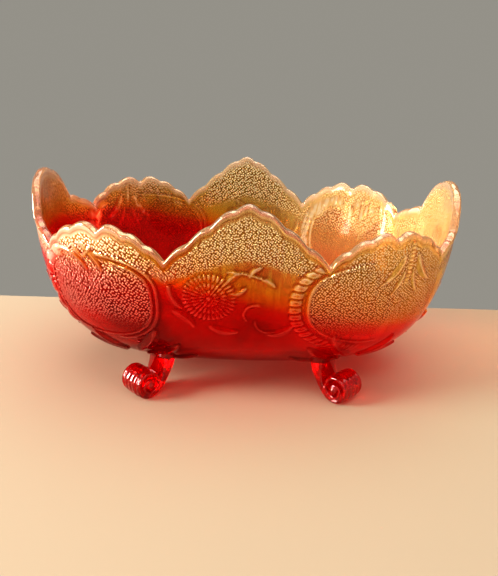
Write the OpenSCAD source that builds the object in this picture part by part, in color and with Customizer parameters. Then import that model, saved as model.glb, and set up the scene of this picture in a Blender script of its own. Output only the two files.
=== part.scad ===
// Oval pressed-glass fruit bowl: eight rim lobes with fine scallops, standing on four rolled scroll feet.
// Millimetres, +Z up, X along the bowl. The origin is on the table, under the middle of the bowl.

/* [Bowl] */
// Overall length, across the two end points
bowl_length = 290; // [270:1:310]
// Overall width, across the two side points
bowl_width = 199; // [185:1:215]
// Overall height, from the table to the end points
bowl_height = 138.5; // [134:0.5:146]
// Height of the flat underside above the table
base_clearance = 16.5; // [15:0.5:18]
// Thickness of the glass at the rim
rim_thickness = 4.5; // [3.5:0.1:6]
// Thickness of the glass in the bottom
base_thickness = 7; // [5:0.5:9]

/* [Rim] */
// Height of the two side points
side_height = 137.5; // [130:0.1:138]
// Height of the four rounded corner lobes
corner_height = 121; // [117:0.5:126]
// Height of the eight notches between the lobes
notch_height = 102.3; // [98:0.1:106]
// Height of the shoulders beside each end point
shoulder_height = 112.5; // [109:0.5:116]
// Depth of the dip in the middle of each corner lobe
corner_dip = 4.5; // [0:0.5:6]
// Depth of the fine scallops along the edge
scallop_depth = 2; // [0:0.1:2.5]

/* [Feet] */
// Diameter of the rolled scroll
scroll_diameter = 20; // [18:0.5:22]
// Width of the scroll, along its roll
scroll_width = 20; // [16:1:22]
// Middle of each scroll, measured along the bowl
foot_x = 67; // [65:0.5:70]
// Middle of each scroll, measured across the bowl
foot_y = 65; // [63:0.5:67]
// Direction in which a foot points, measured from the bowl's length
foot_angle = 43; // [38:1:48]

/* [Hidden] */

// Angles of one quarter of the rim: the notches on both sides of a corner lobe and the lobe's middle
end_notch = 35.5;
corner_mid = 54.4;
side_notch = 70.65;
// Part of an end lobe's half that its rounded point takes, before the shoulder
end_cap = 0.62;
// How far the oval bulges at its four corners
corner_bulge = 0.065;

// Wall profile as control values from the underside's edge to the top, in parts of each half size
length_profile = [0.51, 0.795, 1.02, 0.998];
width_profile = [0.30, 0.70, 0.95, 1.0];
height_profile = [0, 0, 0.23, 1];

// Facet layout: steps in each stretch of a quarter rim, and the levels of the rows up the wall
end_steps = 14;
corner_steps = 11;
side_steps = 12;
row_levels = [0, 0.1, 0.18, 0.26, 0.34, 0.45, 0.58, 0.72, 0.86, 1];
// How far the rounded lip rises above the wall's edges
lip_rise = rim_thickness * 0.4;

// Power of the curve that each stretch of the rim falls along
corner_power = 2.1;
point_power = 2.6;
shoulder_power = 1.6;
// Rounding of the side points, in parts of half a lobe
peak_rounding = 0.22;
// Scallops along each stretch, as degrees of their wave; corner scallops crowd together towards the notches
side_wave = 630;
corner_wave = 540;
point_wave = 270;
shoulder_wave = 360;
corner_crowding = 1.25;
// Depth of the end lobes' scallops, in parts of the others'
end_scallop = 0.6;
// Reach of the dip in a corner lobe, in parts of half a lobe, and its strength
dip_reach = 0.12;
dip_strength = 0.75;
// Softness of the creases between scallops
crease = 0.14;

// Small steps that measure the wall's slope: up it, and round it in degrees
slope_step = 0.01;
turn_step = 1;

// A leg's outline beside its scroll, in parts of the scroll's radius
leg_outline = [
    [0, 0], [0, 1], [-0.95, 1.55], [-1.15, 2.2], [-1.15, 3.4],
    [-2.55, 3.4], [-2.5, 1.8], [-1.6, 0.75], [-0.8, 0.25]
];
scroll_facets = 64;
// How much is cut from the bottom of a scroll for it to stand flat
sole_depth = 0.4;
// Columns and rows of the wall that lie over a foot's leg, and the depth of the trim above them
leg_columns = [end_steps + 4, end_steps + 2 * corner_steps + 5];
leg_rows = 6;
trim_depth = 40;

glass_red = [0.72, 0.07, 0.03];
glass_amber = [0.85, 0.38, 0.08];

// A cubic curve through four control values
function curve(p, u) =
    p[0] * pow(1 - u, 3) + 3 * p[1] * u * pow(1 - u, 2) + 3 * p[2] * u * u * (1 - u) + p[3] * pow(u, 3);

function wall_height(w) = base_clearance + (bowl_height - base_clearance) * curve(height_profile, w);

// Outer face of the wall: a is the angle round the bowl, w runs from 0 at the underside to 1 at the top
function outer(a, w) =
    let (bulge = 1 + corner_bulge * pow(sin(2 * a), 2))
    [
        bowl_length / 2 * curve(length_profile, w) * cos(a) * bulge,
        bowl_width / 2 * curve(width_profile, w) * sin(a) * bulge,
        wall_height(w)
    ];

function unit(v) = v / norm(v);

function up_slope(a, w) = unit(outer(a, w + slope_step) - outer(a, w - slope_step));

function side_slope(a, w) = unit(outer(a + turn_step, w) - outer(a - turn_step, w));

function thickness(w) = base_thickness + (rim_thickness - base_thickness) * w;

function inner(a, w) = outer(a, w) - thickness(w) * unit(cross(side_slope(a, w), up_slope(a, w)));

// The level w at which the wall reaches height z, by halving
function level_at(z, low = 0, high = 1.05, turns = 22) =
    let (mid = (low + high) / 2)
    turns == 0 ? mid
    : wall_height(mid) < z ? level_at(z, mid, high, turns - 1)
    : level_at(z, low, mid, turns - 1);

// 0 in the middle of a scallop and 1 at the crease beside it; wave is a sine or a cosine
function notch(wave) = 1 - sqrt(wave * wave + crease * crease);

// A straight slope with a rounded start: 0 where q is 0, and 1 where q is 1
function slope(q) = let (c = peak_rounding) (sqrt(q * q + c * c) - c) / (sqrt(1 + c * c) - c);

// Height of the rim at q, which runs from 0 in the middle of a lobe to 1 at the notch
function side_rim(q) =
    notch_height + (side_height - notch_height) * (1 - slope(q))
    - scallop_depth * notch(cos(side_wave * q));

function corner_rim(q) =
    notch_height + (corner_height - notch_height) * (1 - pow(q, corner_power))
    - (scallop_depth + corner_dip * dip_strength * exp(-pow(q / dip_reach, 2)))
    * notch(sin(corner_wave * pow(q, corner_crowding)));

function end_point(q) =
    shoulder_height + (bowl_height - shoulder_height) * (1 - pow(q, point_power))
    - scallop_depth * end_scallop * notch(cos(point_wave * q));

function end_shoulder(q) =
    notch_height + (shoulder_height - notch_height) * (1 - pow(q, shoulder_power))
    - scallop_depth * end_scallop * notch(sin(180 + shoulder_wave * q));

function end_rim(q) = q < end_cap ? end_point(q / end_cap) : end_shoulder((q - end_cap) / (1 - end_cap));

// The angle folded into the first quarter
function quarter(a) = let (b = abs(a)) b > 90 ? 180 - b : b;

function rim_height(a) =
    let (b = quarter(a))
    b < end_notch ? end_rim(b / end_notch)
    : b < corner_mid ? corner_rim((corner_mid - b) / (corner_mid - end_notch))
    : b < side_notch ? corner_rim((b - corner_mid) / (side_notch - corner_mid))
    : side_rim((90 - b) / (90 - side_notch));

// Angles of the columns, denser where the rim turns, in one quarter and then all round
quarter_angles = concat(
    [for (i = [0:end_steps - 1]) end_notch * i / end_steps],
    [for (i = [0:corner_steps - 1]) end_notch + (corner_mid - end_notch) * i / corner_steps],
    [for (i = [0:corner_steps - 1]) corner_mid + (side_notch - corner_mid) * i / corner_steps],
    [for (i = [0:side_steps - 1]) side_notch + (90 - side_notch) * i / side_steps]
);
quarter_count = len(quarter_angles);
columns = 4 * quarter_count;

function column_angle(i) =
    let (k = (i + columns) % columns)
    k <= quarter_count ? (k == quarter_count ? 90 : quarter_angles[k])
    : k <= 2 * quarter_count ? 180 - column_angle(2 * quarter_count - k)
    : -column_angle(columns - k);

rim_levels = [for (i = [0:columns - 1]) level_at(rim_height(column_angle(i)) - lip_rise)];
top_row = len(row_levels) - 1;

function wall_point(i, row) =
    let (k = (i + columns) % columns)
    outer(column_angle(k), row_levels[row] * rim_levels[k]);

function liner_point(i, row) = inner(column_angle(i), row_levels[row] * rim_levels[i]);

function lip_point(i) =
    let (a = column_angle(i), w = rim_levels[i])
    (outer(a, w) + inner(a, w)) / 2 + lip_rise * up_slope(a, w);

// Faces between two neighbouring rings of a stack, each of n points
function band(ring, n, closed = true) = [
    for (i = [0:closed ? n - 1 : n - 2])
        let (a = ring * n + i, b = ring * n + (i + 1) % n)
        each [[a, a + n, b + n], [a, b + n, b]]
];

module bowl() {
    rings = concat(
        [for (row = [0:top_row]) [for (i = [0:columns - 1]) wall_point(i, row)]],
        [[for (i = [0:columns - 1]) lip_point(i)]],
        [for (row = [top_row:-1:0]) [for (i = [0:columns - 1]) liner_point(i, row)]]
    );
    count = len(rings);
    under = count * columns;
    floor_ring = (count - 1) * columns;
    points = concat(
        [for (ring = rings) each ring],
        [[0, 0, base_clearance], [0, 0, base_clearance + base_thickness]]
    );
    faces = concat(
        [for (r = [0:count - 2]) each band(r, columns)],
        [for (i = [0:columns - 1]) [under, i, (i + 1) % columns]],
        [for (i = [0:columns - 1]) [under + 1, floor_ring + (i + 1) % columns, floor_ring + i]]
    );
    color(glass_amber) polyhedron(points = points, faces = faces, convexity = 6);
}

// The space above one patch of the wall's outer face, which trims a leg to the wall's own facets
module wall_patch(first, last) {
    n = last - first + 1;
    low = [for (row = [0:leg_rows]) each [for (i = [first:last]) wall_point(i, row)]];
    points = concat(low, [for (p = low) [p.x, p.y, p.z + trim_depth]]);
    lid = len(low);
    edge = concat(
        [for (i = [0:n - 1]) i],
        [for (row = [1:leg_rows]) row * n + n - 1],
        [for (i = [n - 2:-1:0]) leg_rows * n + i],
        [for (row = [leg_rows - 1:-1:1]) row * n]
    );
    bottom = [for (row = [0:leg_rows - 1]) each band(row, n, closed = false)];
    faces = concat(
        bottom,
        [for (f = bottom) [f[0] + lid, f[2] + lid, f[1] + lid]],
        [for (k = [0:len(edge) - 1])
            let (a = edge[k], b = edge[(k + 1) % len(edge)])
            each [[a, b, b + lid], [a, b + lid, a + lid]]]
    );
    polyhedron(points = points, faces = faces, convexity = 4);
}

// Outline of a foot seen along its roll: x points outwards, y up, and the roll's middle is over x = 0
module foot_outline() {
    r = scroll_diameter / 2;
    translate([0, r]) circle(r, $fn = scroll_facets);
    polygon(r * leg_outline);
}

// side_x and side_y are -1 or 1 and choose the corner
module foot(side_x, side_y) {
    half = columns / 2;
    first = side_x * side_y > 0 ? leg_columns[0] : half - leg_columns[1];
    last = side_x * side_y > 0 ? leg_columns[1] : half - leg_columns[0];
    turn = side_y > 0 ? 0 : half;
    color(glass_red) difference() {
        translate([side_x * foot_x, side_y * foot_y, 0])
            rotate([0, 0, side_y * (side_x > 0 ? foot_angle : 180 - foot_angle)])
                rotate([90, 0, 0])
                    linear_extrude(height = scroll_width, center = true)
                        translate([0, -sole_depth]) foot_outline();
        wall_patch(first + turn, last + turn);
        translate([side_x * foot_x, side_y * foot_y, -scroll_diameter])
            cube([4, 4, 2] * scroll_diameter, center = true);
    }
}

module foot_front_left() {
    foot(-1, -1);
}

module foot_front_right() {
    foot(1, -1);
}

module foot_back_left() {
    foot(-1, 1);
}

module foot_back_right() {
    foot(1, 1);
}

bowl();
foot_front_left();
foot_front_right();
foot_back_left();
foot_back_right();
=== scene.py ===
import math
from collections import namedtuple
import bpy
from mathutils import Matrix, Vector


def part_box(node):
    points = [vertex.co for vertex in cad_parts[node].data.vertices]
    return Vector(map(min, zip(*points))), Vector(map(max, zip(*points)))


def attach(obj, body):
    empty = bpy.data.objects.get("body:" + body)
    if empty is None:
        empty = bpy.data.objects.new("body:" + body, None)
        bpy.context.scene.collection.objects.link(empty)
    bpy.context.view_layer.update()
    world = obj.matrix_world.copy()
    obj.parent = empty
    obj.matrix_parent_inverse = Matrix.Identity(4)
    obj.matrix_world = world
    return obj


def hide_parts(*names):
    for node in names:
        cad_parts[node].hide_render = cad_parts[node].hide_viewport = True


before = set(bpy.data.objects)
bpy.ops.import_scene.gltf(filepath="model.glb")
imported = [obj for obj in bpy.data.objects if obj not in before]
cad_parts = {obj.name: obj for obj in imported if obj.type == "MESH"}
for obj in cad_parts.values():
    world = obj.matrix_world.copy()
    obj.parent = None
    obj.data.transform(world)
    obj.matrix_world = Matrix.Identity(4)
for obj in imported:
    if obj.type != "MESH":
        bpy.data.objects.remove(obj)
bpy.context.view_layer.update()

from types import SimpleNamespace

import bpy
import numpy as np
from mathutils import Matrix, Vector

# Shapes are worked out in millimetres and scaled to metres when a mesh is made. Places in materials, lamps
# and the camera are in metres.
MM = 1000.0


# ---------------------------------------------------------------- the frame's own sizes

low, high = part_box("bowl")
WIDTH = (high.y - low.y) * MM
HEIGHT = high.z * MM
BASE = low.z * MM

# The CAD source's driving sizes. The rounded rim stays a little inside them.
NOMINAL_LENGTH, NOMINAL_WIDTH = 290.0, 199.0
HALF_LENGTH, HALF_WIDTH = NOMINAL_LENGTH / 2, NOMINAL_WIDTH / 2

# The wall's shape: Bezier control values from the underside's edge to the top, as shares of those sizes
LENGTH_PROFILE = (0.51, 0.795, 1.02, 0.998)
WIDTH_PROFILE = (0.30, 0.70, 0.95, 1.0)
HEIGHT_PROFILE = (0, 0, 0.23, 1)
CORNER_BULGE = 0.065
RIM_THICKNESS, BASE_THICKNESS = 4.5, 7.0
LIP_RISE = RIM_THICKNESS * 0.4

# The rim: heights above the table, its small waves, and angles in degrees round one quarter of the bowl
SIDE_HEIGHT, CORNER_HEIGHT, NOTCH_HEIGHT, SHOULDER_HEIGHT = 137.5, 121.0, 102.3, 112.5
CORNER_DIP, SCALLOP, CREASE, END_CAP = 4.5, 2.0, 0.14, 0.62
END_NOTCH, CORNER_MID, SIDE_NOTCH = 35.5, 54.4, 70.65

# The feet: their middles, which way they turn, the roll's size and how much of it is worn flat
FOOT_X, FOOT_Y, FOOT_ANGLE = 67.0, 65.0, 43.0
ROLL, SOLE, FOOT_WIDTH = 20.0, 0.4, 20.0
# How far a leg's top reaches into the wall
LEG_BITE = 2.4

# Mesh steps
COLUMNS = 1000
OUTER_ROWS, LINER_ROWS, LIP_STEPS, DISC_RINGS = 160, 44, 7, 7
# The level of the wall's widest belt, where the columns are evenly spaced
BELT_LEVEL = 0.8
FOOT_VOXEL = 0.58


# ---------------------------------------------------------------- camera

def make_camera():
    """The photograph's viewing angle: a fitted place, with pitch, yaw and roll in radians."""
    place = Vector((-5.8, -442.5, 209.2)) / MM
    pitch, yaw, roll = 0.3367, 0.0211, 0.0368
    ahead = Vector((math.sin(yaw) * math.cos(pitch), math.cos(yaw) * math.cos(pitch), -math.sin(pitch)))
    level = Vector((math.cos(yaw), -math.sin(yaw), 0))
    above = level.cross(ahead)
    right = math.cos(roll) * level + math.sin(roll) * above
    up = -math.sin(roll) * level + math.cos(roll) * above
    data = bpy.data.cameras.new("camera")
    data.sensor_width = 36
    data.lens = 39.45
    data.clip_start = 0.01
    cam = bpy.data.objects.new("camera", data)
    bpy.context.scene.collection.objects.link(cam)
    turn = Matrix((right, up, -ahead)).transposed()
    cam.matrix_world = Matrix.Translation(place) @ turn.to_4x4()
    bpy.context.scene.camera = cam


make_camera()


# ---------------------------------------------------------------- the wall, as in the CAD

def bezier(p, u):
    """A cubic curve through control values p, at u from 0 to 1."""
    return p[0] * (1 - u) ** 3 + 3 * p[1] * u * (1 - u) ** 2 + 3 * p[2] * u * u * (1 - u) + p[3] * u ** 3


def wall(a, w):
    """Outer face at angle a (radians) and level w."""
    bulge = 1 + CORNER_BULGE * np.sin(2 * a) ** 2
    return np.stack([
        HALF_LENGTH * bezier(LENGTH_PROFILE, w) * np.cos(a) * bulge,
        HALF_WIDTH * bezier(WIDTH_PROFILE, w) * np.sin(a) * bulge,
        BASE + (HEIGHT - BASE) * bezier(HEIGHT_PROFILE, w) + 0 * a,
    ], -1)


def unit(v):
    return v / np.linalg.norm(v, axis=-1, keepdims=True)


def slopes(a, w):
    """Unit directions along the wall: round the bowl, and up it."""
    e = 1e-3
    return unit(wall(a + e, w) - wall(a - e, w)), unit(wall(a, w + e) - wall(a, w - e))


def thickness(w):
    """The wall's thickness at level w."""
    return BASE_THICKNESS + (RIM_THICKNESS - BASE_THICKNESS) * w


# Heights against levels, for looking a level up
LEVELS = np.linspace(0, 1.05, 2101)
LEVEL_HEIGHTS = BASE + (HEIGHT - BASE) * bezier(HEIGHT_PROFILE, LEVELS)


def level_at(z):
    """The wall's level at height z."""
    return np.interp(z, LEVEL_HEIGHTS, LEVELS)


def notch(wave):
    """1 where a wave crosses zero, so that scallops meet in small creases."""
    return 1 - np.sqrt(wave * wave + CREASE * CREASE)


def slope(q):
    """A straight fall from 0 to 1 with a rounded start."""
    c = 0.22
    return (np.sqrt(q * q + c * c) - c) / (math.sqrt(1 + c * c) - c)


def sin_d(x):
    return np.sin(np.radians(x))


def cos_d(x):
    return np.cos(np.radians(x))


def rim_height(a):
    """Height of the rim at angle a (degrees): end points with shoulders, corner lobes and side points."""
    b = np.abs((a + 180) % 360 - 180)
    b = np.where(b > 90, 180 - b, b)
    q = b / END_NOTCH
    p = np.clip(q / END_CAP, 0, 1)
    point = SHOULDER_HEIGHT + (HEIGHT - SHOULDER_HEIGHT) * (1 - p ** 2.6) \
        - SCALLOP * 0.6 * notch(cos_d(270 * p))
    s = np.clip((q - END_CAP) / (1 - END_CAP), 0, 1)
    shoulder = NOTCH_HEIGHT + (SHOULDER_HEIGHT - NOTCH_HEIGHT) * (1 - s ** 1.6) \
        - SCALLOP * 0.6 * notch(sin_d(180 + 360 * s))
    lobe_half = np.where(b < CORNER_MID, CORNER_MID - END_NOTCH, SIDE_NOTCH - CORNER_MID)
    c = np.clip(np.abs(b - CORNER_MID) / lobe_half, 0, 1)
    corner = NOTCH_HEIGHT + (CORNER_HEIGHT - NOTCH_HEIGHT) * (1 - c ** 2.1) \
        - (SCALLOP + CORNER_DIP * 0.75 * np.exp(-(c / 0.12) ** 2)) * notch(sin_d(540 * c ** 1.25))
    r = np.clip((90 - b) / (90 - SIDE_NOTCH), 0, 1)
    side = NOTCH_HEIGHT + (SIDE_HEIGHT - NOTCH_HEIGHT) * (1 - slope(r)) - SCALLOP * notch(cos_d(630 * r))
    end = np.where(q < END_CAP, point, shoulder)
    return np.where(b < END_NOTCH, end, np.where(b < SIDE_NOTCH, corner, side))


# ---------------------------------------------------------------- moulded relief

def smooth(x, lo, hi):
    """0 at lo, 1 at hi, eased between."""
    t = np.clip((x - lo) / (hi - lo), 0, 1)
    return t * t * (3 - 2 * t)


def ridge(d, half):
    """A rounded ridge at distance 0 that ends at distance half on either side."""
    t = np.clip(1 - (d / half) ** 2, 0, 1)
    return t * np.sqrt(t)


# How far behind its own point a patch still covers the wall
PATCH_DEPTH = 45.0


def highest(*shapes):
    return np.maximum.reduce(shapes)


class Patch:
    """Flat coordinates, in mm, on the wall round one point: u to the right as seen from outside, v up."""

    def __init__(self, angle, z, points):
        a, w = math.radians(angle), float(level_at(z))
        side, up = slopes(np.array(a), np.array(w))
        off = points - wall(np.array(a), np.array(w))
        self.u = off @ side
        self.v = off @ up
        self.near = (off @ np.cross(side, up)) > -PATCH_DEPTH

    def only(self, value):
        """The value on this side of the bowl, and nothing on the far side."""
        return np.where(self.near, value, 0.0)


def leaf(p, start, end, width, bend=0.0):
    """A lens-shaped leaf with a midrib, from start to end, bent sideways in the middle by bend."""
    sx, sy = start
    dx, dy = end[0] - sx, end[1] - sy
    size = math.hypot(dx, dy)
    along = ((p.u - sx) * dx + (p.v - sy) * dy) / size ** 2
    across = ((p.u - sx) * -dy + (p.v - sy) * dx) / size - bend * 4 * along * (1 - along)
    inside = (along > 0) & (along < 1)
    t = np.clip(along, 1e-3, 1 - 1e-3)
    half = width / 2 * np.sqrt(np.sin(np.pi * t ** 0.85)) + 1e-6
    body = 0.75 * np.clip(1 - np.abs(across / half) ** 1.6, 0, 1)
    rib = 0.25 * np.exp(-(across / 0.6) ** 2) * np.sin(np.pi * t)
    return p.only(np.where(inside & (np.abs(across) < half), body + rib, 0.0))


def arc(p, centre, radius, first, last, half, taper=12.0):
    """A slender ridge along a circle, between two angles in degrees, thinning at its ends."""
    x, y = p.u - centre[0], p.v - centre[1]
    angle = np.degrees(np.arctan2(y, x))
    middle, reach = (first + last) / 2, (last - first) / 2
    off = np.abs((angle - middle + 180) % 360 - 180)
    fade = 1 - smooth(off, reach - taper, reach)
    return p.only(fade * ridge(np.hypot(x, y) - radius, half * (0.35 + 0.65 * fade)))


def flower(p, centre, radius, petals=34):
    """A full, round flower: rings of narrow petals, highest near their tips, round a small heart."""
    x, y = p.u - centre[0], p.v - centre[1]
    r, angle = np.hypot(x, y) / radius, np.arctan2(y, x)
    total = 0 * r
    for ring, (inner_r, outer_r) in enumerate(((0.50, 1.0), (0.22, 0.68), (0.04, 0.37))):
        count = petals - 10 * ring
        phase = (angle * count / (2 * np.pi) + 0.5 * (ring % 2)) % 1 - 0.5
        tip = outer_r * (1 - 0.5 * phase ** 2)
        t = np.clip((r - inner_r) / (tip - inner_r), 0, 1)
        shape = np.where(r < tip, t ** 0.7 * np.clip((1 - t) * 5, 0, 1) ** 0.5, 0)
        petal = shape * (1 - (np.abs(phase) * 2) ** 2.0)
        total = np.maximum(total, petal * (0.8 + 0.12 * ring))
    heart = np.clip(1 - (r / 0.12) ** 2, 0, 1)
    return p.only(np.maximum(total, heart))


# The outer face is stippled above a line that follows the rim; the stipple fades out between these heights
STIPPLE_FADE = (50, 68)

# Heights above the table round which each kind of motif is set out
MEDALLION_STATION, LEAVES_STATION, ARC_STATION = 92, 108, 82
SIDE_STATION, END_STATION, FOOT_STATION = 82, 78, 40

# A medallion's middle hangs below its station; it reaches this far down from there
MEDALLION_FALL, MEDALLION_DEPTH = 16.0, 34.0
CORNER_ANGLE = 49.5
BEAD_PITCH, LOBE_PITCH = 5.0, 10.5

# The corner medallions, from the front left one anticlockwise as seen from above. u times inward points to
# the side panel. side_reach and end_reach are how far the medallion goes towards the side and the end panel,
# and rise how far up. beads is a row of beads' distance from the edge and their height. An open end has no
# edge towards the end panel. Over the medallion is a ladder stem or, without one, small leaves.
Medallion = namedtuple("Medallion", "angle inward side_reach end_reach rise beads open_end ladder")
MEDALLIONS = (
    Medallion(angle=CORNER_ANGLE - 180, inward=1, side_reach=42, end_reach=30.0, rise=22.0,
              beads=None, open_end=False, ladder=False),
    Medallion(angle=-CORNER_ANGLE, inward=-1, side_reach=60, end_reach=33.0, rise=26.0,
              beads=(7.5, 1.3), open_end=True, ladder=True),
    Medallion(angle=CORNER_ANGLE, inward=1, side_reach=42, end_reach=33.0, rise=26.0,
              beads=(5.0, 1.7), open_end=False, ladder=False),
    Medallion(angle=180 - CORNER_ANGLE, inward=-1, side_reach=60, end_reach=30.0, rise=26.0,
              beads=None, open_end=False, ladder=True),
)


class Relief:
    """Height of the moulded relief over the outer face, and how stippled the face is."""

    def __init__(self, stipple):
        self.height = np.zeros_like(stipple)
        self.stipple = stipple

    def raise_to(self, height):
        self.height = np.maximum(self.height, height)

    def clear(self, share):
        self.stipple = self.stipple * (1 - share)

    def add_motif(self, motif):
        """A motif stands up from whatever is there, and is not stippled."""
        covered = smooth(motif, 0.1, 0.35)
        self.height = np.where(covered > 0, np.maximum(self.height, motif), self.height)
        self.clear(covered)


def lumps(around, reach, pitch, d, middle, half):
    """A row of rounded lumps round a medallion, at distance middle from its edge."""
    part = (np.radians(around) * (reach + 4) / pitch % 1 - 0.5) * 2
    return np.clip(1 - np.abs(part) ** 3 - np.abs((d - middle) / half) ** 3, 0, 1) ** 0.5


def add_beads(moulded, m, d, around, reach):
    """A row of beads on a plain strip along a medallion's side arc."""
    beads_at, bead_height = m.beads
    side_arc = smooth(cos_d(around), 0.35, 0.62)
    if m.open_end:
        side_arc = side_arc * (1 - smooth(around, 24, 34))
    beads = lumps(around, reach, BEAD_PITCH, d, beads_at, 3.6)
    moulded.raise_to(bead_height * beads * side_arc)
    moulded.clear(side_arc * ((d > 0.6) & (d < beads_at + 4)))


def add_second_ridge(moulded, d, around, v):
    """A plain ridge outside a medallion's side arc, which leaves the edge as it climbs."""
    side_arc = smooth(cos_d(around), 0.2, 0.5)
    second_ridge = ridge(d - 3.2 - smooth(v, -30, 20), 1.7) * side_arc
    moulded.raise_to(1.3 * second_ridge)
    moulded.clear(side_arc * ((d > 0.3) & (d < 4.8)))


def add_lobes(moulded, m, d, around):
    """Broad lobes that close a medallion towards the end panel."""
    end_arc = smooth(-cos_d(around), 0.45, 0.7)
    lobes = lumps(around, m.end_reach, LOBE_PITCH, d, 5.0, 4.6)
    moulded.raise_to(1.9 * lobes * end_arc)
    moulded.clear(end_arc * ((d > 0.3) & (d < 9.8)))


def add_medallion(moulded, m, points):
    """A raised, stippled oval with a ridged edge that is open at the top, and what runs round it."""
    p = Patch(m.angle, MEDALLION_STATION, points)
    x, y = p.u * m.inward, p.v + MEDALLION_FALL
    reach = np.where(x > 0, m.side_reach, m.end_reach)
    half_height = np.where(y > 0, m.rise, MEDALLION_DEPTH)
    t = np.hypot(np.abs(x / reach) ** 1.25, np.abs(y / half_height) ** 1.25) ** 0.8
    # distance outwards from the edge
    d = np.where(p.near, (t - 1) * np.maximum(np.hypot(x, y), 8) / np.maximum(t, 0.3), 99)
    inside = 1 - smooth(d, -1.2, 0.2)
    moulded.stipple = np.maximum(moulded.stipple, inside)
    around = np.degrees(np.arctan2(y, x))
    edge = smooth(np.abs(around - 90), 38, 58)
    if m.open_end:
        edge = edge * smooth(cos_d(around), 0.1, 0.45)
    moulded.raise_to(0.55 * inside * edge)
    moulded.raise_to(1.4 * ridge(d, 1.6) * edge)
    if m.beads:
        add_beads(moulded, m, d, around, reach)
    else:
        add_second_ridge(moulded, d, around, p.v)
        add_lobes(moulded, m, d, around)


def small_leaves(angle, points):
    """A small pair of leaves, over a plain arc and leaf that close the medallion's outer side."""
    f = Patch(angle, LEAVES_STATION, points)
    g = Patch(angle + 3, ARC_STATION, points)
    return highest(
        1.5 * leaf(f, (0, -10), (-7, -2), 3.6, 0.6),
        1.5 * leaf(f, (0, -10), (8, -1), 3.6, -0.6),
        1.5 * arc(g, (-23, 0), 20, 20, 175, 2.0),
        1.2 * leaf(g, (-10, 26), (6, 8), 5.5, 2.5))


def ladder_stem(angle, points):
    """A ladder stem between pairs of slender leaves."""
    f = Patch(angle, LEAVES_STATION, points)
    rungs = 0.6 + 0.4 * np.cos(f.v * 2 * np.pi / 2.6)
    shapes = [1.2 * f.only(np.exp(-(f.u / 1.6) ** 4) * rungs * smooth(f.v, -23, -18))]
    for side in (-1, 1):
        shapes.append(2.0 * leaf(f, (side * 5, -2), (side * 19, -21), 6.5, -2.5 * side))
        shapes.append(1.3 * leaf(f, (side * 3, -12), (side * 11, -29), 4.0, -1.5 * side))
    return highest(*shapes)


def side_spray(angle, points):
    """A full flower with its bud, branch and leaves."""
    p = Patch(angle, SIDE_STATION, points)
    return highest(
        1.7 * flower(p, (-22, -3), 16.5),
        # bud, branch and the leaves on them
        1.3 * leaf(p, (-12, 7), (-3, 15), 6, 1.5),
        1.4 * leaf(p, (-8, 0), (0, 5), 5, -0.8),
        1.1 * arc(p, (-8, -26), 41, 55, 100, 1.0),
        1.1 * leaf(p, (1, 12), (9, 19), 5, 1.0),
        1.1 * leaf(p, (9, 11), (17, 6), 5, 1.0),
        # tendrils
        0.8 * arc(p, (6, -14), 7, 60, 230, 0.9),
        0.8 * arc(p, (15, -19), 9, 170, 300, 0.9),
        # leaves below the flower
        1.2 * leaf(p, (-44, -14), (-31, -26), 7, 2.0),
        1.2 * leaf(p, (-46, 4), (-38, -12), 6, -2.0),
        1.2 * leaf(p, (-22, -24), (-4, -28), 7, -2.0),
        1.0 * leaf(p, (14, -30), (30, -22), 7, -2.0))


def end_spray(angle, points):
    """A flower over broad leaves that fan out from the bottom."""
    p = Patch(angle, END_STATION, points)
    shapes = [1.7 * flower(p, (0, 14), 16), 1.5 * leaf(p, (0, -36), (0, -6), 8, 0.0)]
    for side in (-1, 1):
        shapes.append(2.0 * leaf(p, (side * 4, -36), (side * 24, -6), 11, -3 * side))
        shapes.append(2.0 * leaf(p, (side * 8, -44), (side * 36, -26), 11, -3 * side))
        shapes.append(1.5 * leaf(p, (side * 3, -30), (side * 10, -4), 8, -1.5 * side))
        shapes.append(1.6 * leaf(p, (side * 5, -50), (side * 30, -46), 9, -2 * side))
    return highest(*shapes)


def foot_spray(side_x, side_y, points):
    """Leaves that rise from a foot."""
    squash = 0.69
    p = Patch(math.degrees(math.atan2(side_y * FOOT_Y, side_x * FOOT_X * squash)), FOOT_STATION, points)
    shapes = []
    for side in (-1, 1):
        shapes.append(2.2 * leaf(p, (side * 4, -14), (side * 24, 9), 10, -3 * side))
        shapes.append(2.0 * leaf(p, (side * 8, -20), (side * 36, -8), 10, -3 * side))
        shapes.append(1.8 * leaf(p, (side * 14, -28), (side * 44, -24), 9, -2 * side))
    return highest(*shapes)


def relief(points, a_deg, below_rim):
    """Height of the moulded relief on the outer face, and how stippled it is, at every point."""
    above_notch = rim_height(a_deg) - NOTCH_HEIGHT
    moulded = Relief(1 - smooth(below_rim, 10 + 0.55 * above_notch, 15 + 0.55 * above_notch))
    for m in MEDALLIONS:
        add_medallion(moulded, m, points)
        moulded.add_motif(ladder_stem(m.angle, points) if m.ladder else small_leaves(m.angle, points))
    for angle in (-90, 90):
        moulded.add_motif(side_spray(angle, points))
    for angle in (0, 180):
        moulded.add_motif(end_spray(angle, points))
    for side_x in (-1, 1):
        for side_y in (-1, 1):
            moulded.add_motif(foot_spray(side_x, side_y, points))

    # The plain raised border under the lip
    border = 1 - smooth(below_rim, 4.0, 5.4)
    bead = np.sqrt(np.clip(1 - ((below_rim - 0.2) / 2.2) ** 2, 0, 1))
    height = moulded.height * (1 - border) + 0.8 * bead
    moulded.clear(smooth(border, 0.0, 0.4))
    return height, moulded.stipple * smooth(points[..., 2], *STIPPLE_FADE)


# ---------------------------------------------------------------- meshes

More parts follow.
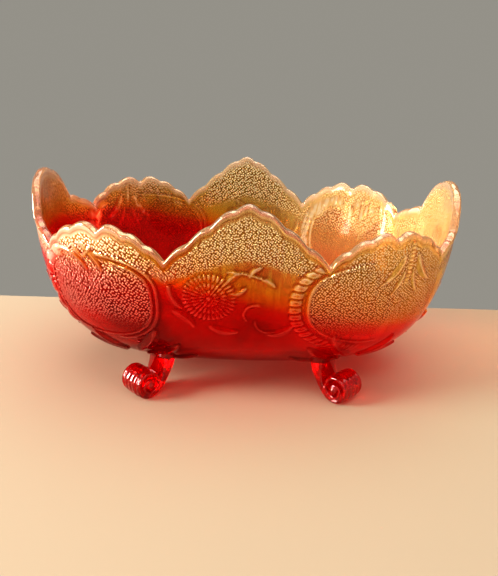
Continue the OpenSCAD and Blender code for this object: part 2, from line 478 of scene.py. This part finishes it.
def make_object(name, points, faces, mats, attributes=()):
    """An object from points in mm, arrays of faces, and named values at every point."""
    mesh = bpy.data.meshes.new(name)
    mesh.vertices.add(len(points))
    mesh.vertices.foreach_set("co", (points / MM).astype(np.float32).ravel())
    flat = np.concatenate([np.asarray(q, np.int32).ravel() for q in faces])
    sizes = np.concatenate([np.full(len(q), np.asarray(q).shape[1], np.int32) for q in faces])
    starts = np.concatenate([[0], np.cumsum(sizes)[:-1]])
    mesh.loops.add(len(flat))
    mesh.loops.foreach_set("vertex_index", flat)
    mesh.polygons.add(len(sizes))
    mesh.polygons.foreach_set("loop_start", starts.astype(np.int32))
    mesh.polygons.foreach_set("use_smooth", np.ones(len(sizes), bool))
    mesh.update(calc_edges=True)
    mesh.validate()
    for key, values in attributes:
        if np.ndim(values) == 2:
            layer = mesh.attributes.new(key, "FLOAT_VECTOR", "POINT")
            layer.data.foreach_set("vector", (np.asarray(values) / MM).astype(np.float32).ravel())
        else:
            layer = mesh.attributes.new(key, "FLOAT", "POINT")
            layer.data.foreach_set("value", np.asarray(values, np.float32))
    for mat in mats:
        mesh.materials.append(mat)
    ob = bpy.data.objects.new(name, mesh)
    bpy.context.scene.collection.objects.link(ob)
    return ob


def ring_quads(first, second, n):
    """Quads between two rings of n points that start at the given indices."""
    i = np.arange(n)
    j = (i + 1) % n
    return np.stack([first + i, first + j, second + j, second + i], -1)


def fan(ring, middle, n):
    """Triangles from a ring of n points that starts at one index to the point at another."""
    i = np.arange(n)
    return np.stack([ring + i, ring + (i + 1) % n, np.full(n, middle)], -1)


def turned_over(triangles):
    return triangles[:, [1, 0, 2]]


# ---------------------------------------------------------------- bowl

# Each panel's first and last angle, the height of its middle, and how fine its stipple is
PANELS = (
    (-34, 34, 78, 0.85), (34, 68, 85, 0.80), (68, 102, 90, 0.85), (102, 146, 85, 0.80),
    (146, 214, 78, 0.85), (214, 248, 85, 0.85), (248, 282, 90, 1.1), (282, 326, 85, 1.0))
PANEL_SHIFT = 300

# The stain climbs towards the left end: by this much of a point's place along the bowl
STAIN_TILT = 0.14


def panel_coordinates(points, a_deg):
    """Flat coordinates in mm on each of the eight panels, every panel's shifted away from the others'."""
    flat = np.zeros((*points.shape[:-1], 2))
    for k, (first, last, z, fineness) in enumerate(PANELS):
        column = (a_deg - first) % 360 < (last - first)
        p = Patch((first + last) / 2, z, points[:, column])
        flat[:, column] = np.stack([p.u * fineness + PANEL_SHIFT * k, p.v * fineness], -1)
    return flat.reshape(-1, 2)


def run_along(line):
    """Distance along a line of points from its first point."""
    return np.concatenate([[0], np.cumsum(np.linalg.norm(np.diff(line, axis=0), axis=-1))])


def run_down(rows):
    """Distance down each column of points from the first row."""
    steps = np.linalg.norm(np.diff(rows, axis=0), axis=-1)
    return np.vstack([np.zeros((1, COLUMNS)), np.cumsum(steps, axis=0)])


def belt_angles():
    """Column angles in degrees, evenly spaced along the wall's widest belt."""
    fine = np.linspace(0, 2 * np.pi, 7201)
    length = run_along(wall(fine, np.full(fine.shape, BELT_LEVEL)))
    return np.degrees(np.interp(np.arange(COLUMNS) * length[-1] / COLUMNS, length, fine))


def row_shares():
    """Row positions from the underside's edge (0) to the lip (1): even up the wall, wider apart low down."""
    w = np.linspace(0, 1, 2001)
    path = wall(np.full(w.shape, math.radians(60)), w)
    density = 0.6 + 0.4 * smooth(path[1:, 2], 30, 50)
    total = np.concatenate([[0], np.cumsum(np.linalg.norm(np.diff(path, axis=0), axis=-1) * density)])
    return np.interp(np.linspace(0, total[-1], OUTER_ROWS + 1), total, w)


def wall_sheet(a, w):
    """The outer face at rows of levels w, with its directions upwards and outwards."""
    aa = np.broadcast_to(a, w.shape)
    side, up = slopes(aa, w)
    return wall(aa, w), up, np.cross(side, up)


def rounded_lip(outer_top, inner_top, up):
    """Rows of points over the edge, from the outer face to the inner one."""
    middle, half = (outer_top + inner_top) / 2, (outer_top - inner_top) / 2
    angles = np.linspace(0, np.pi, LIP_STEPS + 2)[1:-1]
    return np.stack([middle + np.cos(k) * half + np.sin(k) * LIP_RISE * up for k in angles])


def shell(outer, lip, liner):
    """Points and faces of the closed shell: the three sheets in turn, the floor inside and the underside."""
    shrink = np.linspace(1, 0, DISC_RINGS + 1)[1:-1]
    floor_middle, under_middle = np.array([0, 0, BASE + BASE_THICKNESS]), np.array([0, 0, BASE])
    floor = [floor_middle + (liner[-1] - floor_middle) * np.array([s, s, s ** 2.0]) for s in shrink]
    under = [under_middle + (outer[0] - under_middle) * np.array([s, s, 1.0]) for s in shrink]

    rings = [*outer, *lip, *liner, *floor]
    floor_middle_at = len(rings) * COLUMNS
    under_at = floor_middle_at + 1
    under_middle_at = under_at + len(under) * COLUMNS
    points = np.vstack([*rings, floor_middle, *under, under_middle])

    quads = [ring_quads(k * COLUMNS, (k + 1) * COLUMNS, COLUMNS) for k in range(len(rings) - 1)]
    starts = [0, *(under_at + k * COLUMNS for k in range(len(under)))]
    quads += [ring_quads(a, b, COLUMNS)[:, ::-1] for a, b in zip(starts, starts[1:])]
    triangles = [
        fan(floor_middle_at - COLUMNS, floor_middle_at, COLUMNS),
        turned_over(fan(starts[-1], under_middle_at, COLUMNS))]
    return points, [np.concatenate(quads), np.concatenate(triangles)]


def crests(height):
    """1 on the relief's crests and -1 in its creases, from each point's height over its neighbours'."""
    around = (np.roll(height, 2, 1) + np.roll(height, -2, 1)) / 2
    around[2:-2] = (around[2:-2] + (height[4:] + height[:-4]) / 2) / 2
    return np.clip((height - around) / 0.3, -1, 1)


def seen_through(height, below):
    """Painted highlights on the relief's crests, and painted shade along their outlines and in a line under
    the lip, as the inner face shows them.
    """
    outline = smooth(height, 0.05, 0.3) * (1 - smooth(height, 0.4, 0.9))
    under_lip = smooth(below, 0.5, 1.5) * (1 - smooth(below, 2.0, 4.0))
    return 0.8 * smooth(height, 0.5, 1.4) - 0.7 * np.maximum(outline, under_lip)


def make_bowl(material):
    a_deg = belt_angles()
    a = np.radians(a_deg)
    top = level_at(rim_height(a_deg) - LIP_RISE)

    # Outer face, with the relief raised along its normal
    rows = row_shares()[:, None]
    face, up, out = wall_sheet(a, rows * top)
    below = run_down(face[::-1])[::-1]
    height, stipple = relief(face, np.broadcast_to(a_deg, below.shape), below)
    height = height * smooth(rows, 0.0, 0.04)
    outer = face + out * height[..., None]

    lip = rounded_lip(outer[-1], wall(a, top) - thickness(top)[:, None] * out[-1], up[-1])

    # Liner: the smooth inner face, with the outer face behind it for what shows through
    liner_levels = np.linspace(1, 0, LINER_ROWS + 1)[:, None] * top
    behind, _, behind_out = wall_sheet(a, liner_levels)
    liner = behind - thickness(liner_levels)[..., None] * behind_out
    behind_below = run_down(behind)
    behind_height, behind_stipple = relief(behind, np.broadcast_to(a_deg, behind_below.shape), behind_below)
    high_behind = smooth(behind[..., 2] + STAIN_TILT * behind[..., 0], 84, 102)

    points, faces = shell(outer, lip, liner)
    outer_part = slice(0, below.size)
    lip_part = slice(below.size, below.size + LIP_STEPS * COLUMNS)
    liner_part = slice(lip_part.stop, lip_part.stop + behind_below.size)

    def layer(on_outer, on_lip, on_liner):
        """A value at every point, with nothing on the floor and the underside."""
        values = np.zeros(len(points))
        for part, value in ((outer_part, on_outer), (lip_part, on_lip), (liner_part, on_liner)):
            values[part] = np.ravel(value)
        return values

    # Flat coordinates over each panel, for the fine texture; elsewhere the run round the belt and the height
    over = np.zeros((len(points), 3))
    over[:, 0] = np.resize(run_along(wall(a, np.full(COLUMNS, BELT_LEVEL))), len(points))
    over[:, 1] = points[:, 2]
    over[outer_part, :2] = panel_coordinates(face, a_deg)
    over[liner_part, :2] = panel_coordinates(behind, a_deg)

    ob = make_object("bowl_glass", points, faces, [material], (
        ("stipple", layer(stipple, 0, 0.8 * behind_stipple * high_behind)),
        ("raised", layer(crests(height), 0, seen_through(behind_height, behind_below))),
        ("lip", layer(1 - smooth(below, 0.4, 2.4), 1, 1 - smooth(behind_below, 0.0, 2.0))),
        # a band under the lip, which takes painted window light at the left end
        ("pale", layer(1 - smooth(below, 7, 20), 0, 0)),
        ("inside", layer(0, 0, 1)),
        ("over", over)))
    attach(ob, "root")
    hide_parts("bowl")


# ---------------------------------------------------------------- feet

# The leg's path from inside the wall down to the roll: outwards and up, with the roll's middle over 0
LEG_PATH = ((-17.0, 34.0), (-17.2, 27.0), (-16.2, 20.0), (-13.6, 13.2), (-9.8, 7.0), (-5.6, 3.0))
# The spiral's first radius, and its first and last angle in degrees
SPIRAL_RADIUS, SPIRAL_FIRST, SPIRAL_LAST = 8.3, -100, 560
LEG_STEPS, SPIRAL_STEPS, RIBBON_SIDES, EYE_SIDES = 46, 160, 96, 32
LEG_TOP_THICKNESS, RIBBON_THICKNESS = 13.0, 4.0
EYE_RADIUS = 2.5
# Half the eye's outline: distance from the roll's middle plane, and share of the radius
EYE_OUTLINE = ((10.0, 1.0), (11.0, 0.93), (11.7, 0.65), (12.0, 0.25))


def closed_tube(rings):
    """Points and faces of a closed tube from rings of equal length, with fan caps."""
    n = len(rings[0])
    points = np.concatenate([*rings, [np.mean(rings[0], 0)], [np.mean(rings[-1], 0)]])
    quads = np.concatenate([ring_quads(k * n, (k + 1) * n, n) for k in range(len(rings) - 1)])
    first, last = len(points) - 2, len(points) - 1
    caps = np.concatenate([turned_over(fan(0, first, n)), fan((len(rings) - 1) * n, last, n)])
    return points, quads, caps


def resample(points, count):
    """A smooth curve through points (Catmull-Rom), sampled evenly."""
    p = np.vstack([2 * points[0] - points[1], points, 2 * points[-1] - points[-2]])
    t = np.linspace(0, 1, 40, endpoint=False)[:, None]
    fine = []
    for before, here, after, beyond in zip(p, p[1:], p[2:], p[3:]):
        straight = (after - before) * t
        square = (2 * before - 5 * here + 4 * after - beyond) * t ** 2
        cube = (3 * here - before - 3 * after + beyond) * t ** 3
        fine.append(0.5 * (2 * here + straight + square + cube))
    fine = np.vstack([*fine, points[-1:]])
    length = run_along(fine)
    even = np.linspace(0, length[-1], count)
    return np.stack([np.interp(even, length, fine[:, 0]), np.interp(even, length, fine[:, 1])], -1)


def ribbon_rings(path, thick, wide, flutes):
    """Rounded, fluted cross-sections along a plane path (outwards, up); the outer side is to its right."""
    ahead = unit(np.gradient(path, axis=0))
    right = np.stack([ahead[:, 1], -ahead[:, 0]], -1)
    k = np.linspace(0, 2 * np.pi, RIBBON_SIDES, endpoint=False)
    c, s = np.cos(k), np.sin(k)
    across = np.sign(c) * np.abs(c) ** 0.85
    depth = np.sign(s) * np.abs(s) ** 0.55
    # two deep flutes near the edges and two shallow ones between them
    flute = np.exp(-((np.abs(across) - 0.66) / 0.09) ** 2) \
        + 0.4 * np.exp(-((np.abs(across) - 0.2) / 0.12) ** 2)
    rings = []
    for at, r, t, w, f in zip(path, right, thick, wide, flutes):
        d = depth * (t / 2) - np.where(depth > 0.5, f * flute, 0)
        plane = at + d[:, None] * r
        rings.append(np.stack([plane[:, 0], across * w / 2, plane[:, 1]], -1))
    return rings


def foot_ribbon(roll_middle):
    """The ribbon that is the leg, goes under the roll and winds inwards round it to the eye."""
    turns = np.linspace(SPIRAL_FIRST, SPIRAL_LAST, SPIRAL_STEPS)
    radius = SPIRAL_RADIUS - 3.2 * smooth(turns, 70, 300) - 3.0 * smooth(turns, 290, 580)
    spiral = np.stack([radius * cos_d(turns), roll_middle + radius * sin_d(turns)], -1)
    leg = resample(np.vstack([LEG_PATH, spiral[:1]]), LEG_STEPS)[:-1]
    down = np.linspace(0, 1, len(leg))
    inwards = np.linspace(0, 1, len(spiral))
    leg_thick = LEG_TOP_THICKNESS - (LEG_TOP_THICKNESS - RIBBON_THICKNESS) * smooth(down, 0.1, 1.0)
    thick = np.concatenate([leg_thick, RIBBON_THICKNESS - 0.6 * smooth(inwards, 0, 0.2)])
    wide = np.concatenate([FOOT_WIDTH - np.sin(np.pi * down), FOOT_WIDTH + 2.2 * inwards])
    flutes = np.concatenate([np.ones(len(leg)), 1.0 - 0.6 * inwards])
    return closed_tube(ribbon_rings(np.vstack([leg, spiral]), thick, wide, flutes))


def foot_eye(roll_middle):
    """The scroll's eye, a bead that stands a little proud at both ends."""
    k = np.linspace(0, 2 * np.pi, EYE_SIDES, endpoint=False)
    outline = [(-y, share) for y, share in reversed(EYE_OUTLINE)] + list(EYE_OUTLINE)
    rings = []
    for y, share in outline:
        r = EYE_RADIUS * share
        ring = np.stack([r * np.cos(k), np.full(EYE_SIDES, y), roll_middle + r * np.sin(k)], -1)
        rings.append(ring[::-1])
    return closed_tube(rings)


def foot_shape():
    """One scroll foot, fused: x outwards, y along the roll, z up, with the roll's middle over x = 0."""
    roll_middle = ROLL / 2 - SOLE
    ribbon, eye = foot_ribbon(roll_middle), foot_eye(roll_middle)
    n = len(ribbon[0])
    blank = make_object("foot_blank", np.concatenate([ribbon[0], eye[0]]), [
        np.concatenate([ribbon[1], eye[1] + n]), np.concatenate([ribbon[2], eye[2] + n])], [])
    fuse = blank.modifiers.new("fuse", "REMESH")
    fuse.mode = "VOXEL"
    fuse.voxel_size = FOOT_VOXEL / MM
    soften = blank.modifiers.new("soften", "SMOOTH")
    soften.iterations = 2
    soften.factor = 0.5
    ready = blank.evaluated_get(bpy.context.evaluated_depsgraph_get()).to_mesh()
    points = np.array([v.co for v in ready.vertices]) * MM
    faces = np.array([p.vertices[:] for p in ready.polygons if len(p.vertices) == 4])
    bpy.data.objects.remove(blank)
    return points, faces


def wall_above(x, y):
    """Height of the wall's outer face over the points (x, y)."""
    w = np.linspace(0, 0.8, 161)
    ax = HALF_LENGTH * bezier(LENGTH_PROFILE, w)
    by = HALF_WIDTH * bezier(WIDTH_PROFILE, w)
    angle = np.arctan2(y[:, None] / by, x[:, None] / ax)
    bulge = 1 + CORNER_BULGE * np.sin(2 * angle) ** 2
    # 1 on the wall, more outside it; the first level at which a point is inside lies just above it
    g = np.hypot(x[:, None] / ax, y[:, None] / by) / bulge
    k = np.argmax(g < 1, axis=1)
    rows = np.arange(len(x))
    before = np.maximum(k - 1, 0)
    g0, g1 = g[rows, before], g[rows, k]
    t = np.where(k > 0, (g0 - 1) / np.maximum(g0 - g1, 1e-9), 0)
    level = w[before] + (w[k] - w[before]) * np.clip(t, 0, 1)
    return BASE + (HEIGHT - BASE) * bezier(HEIGHT_PROFILE, level)


def make_feet(material):
    points, faces = foot_shape()
    cos, sin = math.cos(math.radians(FOOT_ANGLE)), math.sin(math.radians(FOOT_ANGLE))
    x = FOOT_X + points[:, 0] * cos - points[:, 1] * sin
    y = FOOT_Y + points[:, 0] * sin + points[:, 1] * cos
    # flat on the table, and the leg's top cut along the wall
    z = np.minimum(np.maximum(points[:, 2], 0), wall_above(x, y) + LEG_BITE)
    for side_y, across in ((-1, "front"), (1, "back")):
        for side_x, along in ((-1, "left"), (1, "right")):
            name = across + "_" + along
            placed = np.stack([side_x * x, side_y * y, z], -1)
            mirrored = side_x * side_y < 0
            quads = faces[:, ::-1] if mirrored else faces
            ob = make_object("scroll_foot_" + name, placed, [quads], [material])
            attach(ob, "root")
            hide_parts("foot_" + name)


# ---------------------------------------------------------------- materials

class Graph:
    """A node tree, with short ways to add the nodes that are used here."""

    def __init__(self, tree):
        self.tree = tree

    def add(self, kind):
        return self.tree.nodes.new("ShaderNode" + kind)

    def link(self, a, b):
        self.tree.links.new(a, b)

    def feed(self, socket, value):
        """Give a socket a number, a colour or another node's output."""
        if isinstance(value, tuple):
            socket.default_value = (*value, 1)
        elif isinstance(value, (int, float)):
            socket.default_value = value
        else:
            self.link(value, socket)

    def math(self, operation, a, b, clamp=False):
        node = self.add("Math")
        node.operation = operation
        node.use_clamp = clamp
        self.feed(node.inputs[0], a)
        self.feed(node.inputs[1], b)
        return node.outputs[0]

    def plus(self, a, b, clamp=False):
        return self.math("ADD", a, b, clamp)

    def minus(self, a, b, clamp=False):
        return self.math("SUBTRACT", a, b, clamp)

    def times(self, a, b, clamp=False):
        return self.math("MULTIPLY", a, b, clamp)

    def ease(self, value, start, end):
        """0 at start, 1 at end, eased between."""
        node = self.add("MapRange")
        node.interpolation_type = "SMOOTHSTEP"
        node.inputs["From Min"].default_value = start
        node.inputs["From Max"].default_value = end
        self.link(value, node.inputs["Value"])
        return node.outputs[0]

    def ramp(self, factor, stops):
        node = self.add("ValToRGB")
        elements = node.color_ramp.elements
        while len(elements) > 1:
            elements.remove(elements[-1])
        for k, (at, colour) in enumerate(stops):
            element = elements[0] if k == 0 else elements.new(at)
            element.position = at
            element.color = (*colour, 1)
        self.link(factor, node.inputs[0])
        return node.outputs[0]

    def mix(self, factor, a, b, blend="MIX"):
        node = self.add("Mix")
        node.data_type = "RGBA"
        node.blend_type = blend
        for socket, value in (("Factor", factor), ("A", a), ("B", b)):
            self.feed(node.inputs[socket], value)
        return node.outputs["Result"]

    def attribute(self, key, output="Fac"):
        node = self.add("Attribute")
        node.attribute_name = key
        return node.outputs[output]

    def mapped(self, vector, socket, value):
        node = self.add("Mapping")
        node.inputs[socket].default_value = value
        self.link(vector, node.inputs["Vector"])
        return node.outputs[0]

    def noise(self, vector, scale, detail):
        node = self.add("TexNoise")
        node.inputs["Scale"].default_value = scale
        node.inputs["Detail"].default_value = detail
        self.link(vector, node.inputs["Vector"])
        return node.outputs["Fac"]

    def glass(self, tint, clear, rough, coat, coat_rough):
        """A glass shader, and a transparent one that lets lamps shine through and take its colour."""
        glass, through = self.add("BsdfPrincipled"), self.add("BsdfTransparent")
        mix = self.add("MixShader")
        for socket, value in (
                ("IOR", 1.52), ("Specular IOR Level", 0.35), ("Specular Tint", tint),
                ("Transmission Weight", clear), ("Roughness", rough),
                ("Coat Weight", coat), ("Coat Roughness", coat_rough)):
            self.feed(glass.inputs[socket], value)
        self.link(self.add("LightPath").outputs["Is Shadow Ray"], mix.inputs[0])
        self.link(glass.outputs[0], mix.inputs[1])
        self.link(through.outputs[0], mix.inputs[2])
        self.link(mix.outputs[0], self.add("OutputMaterial").inputs[0])
        return glass, through


def new_material(name):
    """An empty material and its graph."""
    material = bpy.data.materials.new(name)
    material.use_nodes = True
    material.node_tree.nodes.clear()
    return material, Graph(material.node_tree)


# The stain against height: ruby below, then red-orange, amber and pale gold towards the rim
STAIN = (
    (0.10, (0.36, 0.000, 0.000)),
    (0.28, (0.72, 0.000, 0.000)),
    (0.50, (0.86, 0.001, 0.001)),
    (0.55, (0.82, 0.040, 0.002)),
    (0.583, (0.84, 0.24, 0.004)),
    (0.645, (0.82, 0.46, 0.03)),
    (0.78, (0.76, 0.59, 0.16)),
    (0.92, (0.82, 0.68, 0.31)),
)
# The stipple's dots as painted highlights and the gaps between them as painted shade, against the same
# height
DOT_HIGHLIGHTS = ((0.45, (1.0, 0.20, 0.12)), (0.60, (1.0, 0.72, 0.42)), (0.78, (1.0, 0.95, 0.70)))
GAP_SHADES = ((0.50, (0.34, 0.25, 0.10)), (0.66, (0.52, 0.36, 0.10)))
# Darker patches at random in the ruby, and painted shade in the relief's creases
DEEP_TINT, CREASE_SHADE = (0.35, 0.1, 0.1), (0.40, 0.06, 0.03)
# Painted shade on the inner face, painted window light on its right end, and painted window light under the
# left end's lip
INNER_SHADE, WINDOW_LIT_CREAM, WINDOW_LIT_PINK = (0.36, 0.24, 0.13), (0.70, 0.49, 0.23), (1.0, 0.76, 0.60)
# The lip's pink, and painted window light on the left end's dots and crests
LIP_PINK, WINDOW_PINK = (0.98, 0.70, 0.60), (1.0, 0.66, 0.58)
RUBY = (0.70, 0.000, 0.001)
# Dots to a metre, before each panel's own fineness, and their turn and height
DOTS_PER_METRE, DOT_TURN, DOT_HEIGHT = 670.0, math.radians(37), 0.00022


def stain_level(g, place, x, z, inner_right):
    """The height that the stain answers to, as a share of the bowl's: cloudy, and higher at the left end."""
    wobble = g.times(g.minus(g.noise(place, 9.0, 4.0), 0.5), 0.024)
    level = g.plus(g.plus(z, wobble), g.times(x, STAIN_TILT))
    level = g.plus(level, g.times(g.math("MAXIMUM", x, 0.0), 0.06))
    level = g.math("DIVIDE", level, HEIGHT / MM)
    # painted window light: on the right of the inner face, which faces the window, the cream reaches further
    # down
    return g.plus(level, g.times(inner_right, 0.16))


def stipple_dome(g, over):
    """1 in the middle of each of the stipple's dots and 0 between them."""
    dots = g.add("TexVoronoi")
    dots.voronoi_dimensions = "2D"
    dots.inputs["Scale"].default_value = DOTS_PER_METRE
    dots.inputs["Randomness"].default_value = 0.6
    g.link(g.mapped(over, "Rotation", (0, 0, DOT_TURN)), dots.inputs["Vector"])
    return g.ease(dots.outputs["Distance"], 0.50, 0.14)


def bowl_masks(g):
    """What the bowl's look answers to: the stain's level, and masks that go from 0 to 1 over the bowl."""
    m = SimpleNamespace(lip=g.attribute("lip"), inner_face=g.attribute("inside"))
    m.over = g.attribute("over", "Vector")
    m.place = g.add("TexCoord").outputs["Object"]
    axes = g.add("SeparateXYZ")
    g.link(m.place, axes.inputs[0])
    x = axes.outputs["X"]
    m.inner_right = g.times(m.inner_face, g.ease(x, 0.02, 0.06))
    m.level = stain_level(g, m.place, x, axes.outputs["Z"], m.inner_right)
    m.high_up = g.ease(m.level, 0.50, 0.72)
    m.at_left = g.ease(x, -0.02, -0.09)
    # painted shade: the inner face is browner and darker high up, but not at its right end, which faces the
    # window
    m.smoke = g.times(g.times(m.inner_face, g.ease(x, 0.08, 0.02)), m.high_up)
    # painted window light: the left end is milky pink under its lip, where the window light falls
    m.bloom = g.times(g.attribute("pale"), g.ease(x, -0.05, -0.10))
    raised = g.attribute("raised")
    m.crest = g.ease(raised, 0.25, 0.9)
    m.crease = g.times(raised, -0.8, clamp=True)
    # the inner face is smoother and calmer on the right
    m.calm = g.minus(1.0, g.times(m.inner_right, 0.55))
    marks = g.times(g.attribute("stipple"), m.calm)
    dome = stipple_dome(g, m.over)
    m.dots = g.times(dome, marks)
    m.gaps = g.times(g.minus(1.0, dome), marks)
    return m


def bowl_colour(g, m):
    colour = g.ramp(m.level, STAIN)
    deep = g.times(g.ease(m.level, 0.56, 0.42), g.ease(g.noise(m.place, 26.0, 3.0), 0.48, 0.68))
    colour = g.mix(g.times(deep, 0.55), colour, DEEP_TINT, "MULTIPLY")
    # painted shade on the inner face
    colour = g.mix(g.times(m.smoke, 0.6), colour, INNER_SHADE)
    # painted window light on the inner face's right end
    colour = g.mix(g.times(m.inner_right, 0.5), colour, WINDOW_LIT_CREAM)
    # painted window light under the left end's lip
    colour = g.mix(g.times(m.bloom, 0.7), colour, WINDOW_LIT_PINK)
    colour = g.mix(g.times(m.lip, 0.5), colour, LIP_PINK)
    # painted highlights on the raised dots and crests, paler still at the left end as painted window light
    painted_highlight = g.mix(g.times(m.at_left, 0.5), g.ramp(m.level, DOT_HIGHLIGHTS), WINDOW_PINK)
    colour = g.mix(g.times(m.crest, g.plus(g.times(m.high_up, 0.6), 0.12)), colour, painted_highlight)
    # painted shade in the relief's creases
    colour = g.mix(m.crease, colour, CREASE_SHADE, "MULTIPLY")
    # painted shade in the stipple's gaps, and painted highlights on its dots
    colour = g.mix(g.times(m.gaps, 0.95), colour, g.ramp(m.level, GAP_SHADES), "MULTIPLY")
    return g.mix(g.times(m.dots, 0.9), colour, painted_highlight)


def bowl_clearness(g, m):
    """How much of the light goes through: less on the dots, under the left end's lip where window light is
    painted, and on the inner face's right.
    """
    frosted = g.plus(g.times(m.high_up, 0.25), 0.30)
    clear = g.minus(0.86, g.times(m.dots, frosted))
    clear = g.minus(clear, g.times(m.inner_right, 0.22))
    return g.minus(clear, g.times(m.bloom, 0.30), clamp=True)


def bowl_lustre(g, m, sheen):
    """The metallic lustre: streaky towards the rim, and strongest on the raised dots and crests."""
    # less lustre where the inner face has painted shade
    lustre = g.times(sheen, g.minus(0.40, g.times(m.smoke, 0.2)))
    lustre = g.plus(lustre, g.times(m.dots, g.plus(g.times(m.high_up, 0.2), 0.42)))
    lustre = g.plus(lustre, g.times(m.crest, 0.3))
    lustre = g.minus(g.math("MINIMUM", lustre, 0.8), g.times(m.bloom, 0.3), clamp=True)
    return g.times(lustre, m.calm)


def bowl_bump(g, m):
    """The stipple's dots, which only just show on the inner face."""
    bump = g.add("Bump")
    bump.inputs["Strength"].default_value = 1.0
    bump.inputs["Distance"].default_value = DOT_HEIGHT
    shallow = g.minus(1.0, g.times(m.inner_face, 0.75))
    g.link(g.times(m.dots, shallow), bump.inputs["Height"])
    return bump.outputs[0]


def stained_glass():
    """Clear pressed glass with a stain that changes with height, stipple, and a warm metallic lustre."""
    material, g = new_material("stained_glass")
    m = bowl_masks(g)
    streaks = g.noise(g.mapped(m.over, "Scale", (1.0, 0.12, 1.0)), 260.0, 3.0)
    sheen = g.times(g.ease(streaks, 0.40, 0.70), m.high_up)
    rough = g.plus(g.times(sheen, 0.22), 0.03)
    # a clear gloss on the lip, along the crests and on the inner face's right
    gloss = g.plus(g.plus(g.times(m.crest, 0.5), g.times(m.inner_right, 0.25)), m.lip, clamp=True)
    glass, through = g.glass(
        tint=(1.0, 0.22, 0.15), clear=bowl_clearness(g, m), rough=rough, coat=gloss, coat_rough=0.04)
    g.link(bowl_lustre(g, m, sheen), glass.inputs["Metallic"])
    g.link(bowl_bump(g, m), glass.inputs["Normal"])
    colour = bowl_colour(g, m)
    g.link(colour, glass.inputs["Base Color"])
    g.link(colour, through.inputs[0])
    return material


def ruby_glass():
    """The feet's glass: ruby all through, smooth, with a bright gloss."""
    material, g = new_material("ruby_glass")
    glass, through = g.glass(tint=(1.0, 0.60, 0.55), clear=0.93, rough=0.03, coat=0.5, coat_rough=0.02)
    g.feed(glass.inputs["Base Color"], RUBY)
    g.feed(through.inputs[0], RUBY)
    return material


# ---------------------------------------------------------------- stage

TABLE_COLOUR, TABLE_REACH, TABLE_EDGE_GAP = (0.38, 0.295, 0.205), 2500, 14
STUDIO_BEHIND, STUDIO_IN_FRONT = (0.265, 0.255, 0.23), (0.70, 0.68, 0.64)


def table_material():
    material, g = new_material("floor")
    surface = g.add("BsdfPrincipled")
    g.feed(surface.inputs["Base Color"], TABLE_COLOUR)
    g.feed(surface.inputs["Roughness"], 0.9)
    g.link(surface.outputs[0], g.add("OutputMaterial").inputs[0])
    return material


def make_table():
    """A plain pale table top whose far edge is where the photograph's is."""
    near, far = -TABLE_REACH, WIDTH / 2 + TABLE_EDGE_GAP
    left, right = -TABLE_REACH, TABLE_REACH
    top = np.array([[left, near, 0], [right, near, 0], [right, far, 0], [left, far, 0]], float)
    ob = make_object("floor", top, [np.array([[0, 1, 2, 3]])], [table_material()])


def make_studio():
    """A studio that is grey behind the table and brightens smoothly towards the room in front of it."""
    world = bpy.data.worlds.new("studio")
    world.use_nodes = True
    g = Graph(world.node_tree)
    toward = g.add("SeparateXYZ")
    g.link(g.add("TexCoord").outputs["Generated"], toward.inputs[0])
    in_front = g.ease(toward.outputs["Y"], 0.35, -0.85)
    sky = g.mix(in_front, STUDIO_BEHIND, STUDIO_IN_FRONT)
    g.link(sky, world.node_tree.nodes["Background"].inputs[0])
    bpy.context.scene.world = world
    bpy.context.scene.view_settings.view_transform = "Standard"
    bpy.context.scene.view_settings.look = "High Contrast"


BOWL_MIDDLE = Vector((0, 0, 0.08))


def soft_light(name, place, size, watts, colour=(1, 1, 1)):
    """A rectangular lamp that faces the bowl's middle."""
    data = bpy.data.lights.new(name, "AREA")
    data.shape = "RECTANGLE"
    data.size, data.size_y = size
    data.energy = watts
    data.color = colour
    ob = bpy.data.objects.new(name, data)
    bpy.context.scene.collection.objects.link(ob)
    ob.location = place
    ob.rotation_euler = (BOWL_MIDDLE - Vector(place)).to_track_quat("-Z", "Y").to_euler()


def make_lights():
    soft_light("window", (-1.95, -0.50, 0.68), (0.76, 1.36), 85, (1.0, 0.97, 0.93))
    soft_light("lamp", (-0.55, -0.95, 0.30), (0.16, 0.16), 0.9)
    soft_light("ceiling", (0.2, 0.2, 1.6), (2.4, 2.0), 26)


make_table()
make_studio()
make_lights()
make_bowl(stained_glass())
make_feet(ruby_glass())
